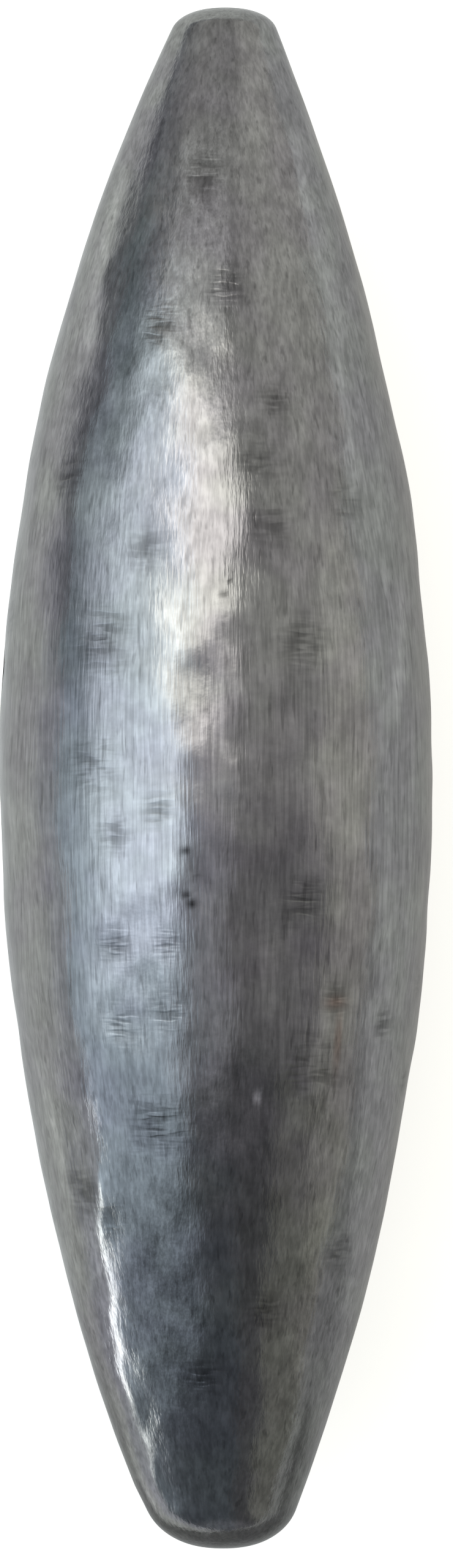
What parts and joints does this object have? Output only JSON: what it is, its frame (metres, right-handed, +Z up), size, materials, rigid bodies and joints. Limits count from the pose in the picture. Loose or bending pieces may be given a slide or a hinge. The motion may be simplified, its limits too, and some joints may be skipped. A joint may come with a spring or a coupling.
{
  "type": "blending stump",
  "caption": "Short, fat blending stump of wound felt paper, sanded to a blunt-tipped spindle and burnished with graphite to a dented grey sheen.",
  "frame": {"origin": "middle of the rest flat on the underside, under the middle of the stump's length", "axes": "+Y along the length towards the slim tip, +Z up from the rest flat, +X to the right seen from above with the slim tip away from the viewer"},
  "size_m": [0.02, 0.0712, 0.0198],
  "materials": {
    "graphite_paper": "satin",
    "core_paper": "satin",
    "dried_paste": "matte"
  },
  "bodies": {
    "root": {"pressed_core": "core_paper", "first_sheet": "graphite_paper", "second_sheet": "graphite_paper", "third_sheet": "graphite_paper", "cover_sheet": "graphite_paper", "core_paste": "dried_paste", "first_joint_paste": "dried_paste", "second_joint_paste": "dried_paste", "third_joint_paste": "dried_paste", "free_edge_paste": "dried_paste"}
  },
  "joints": []
}
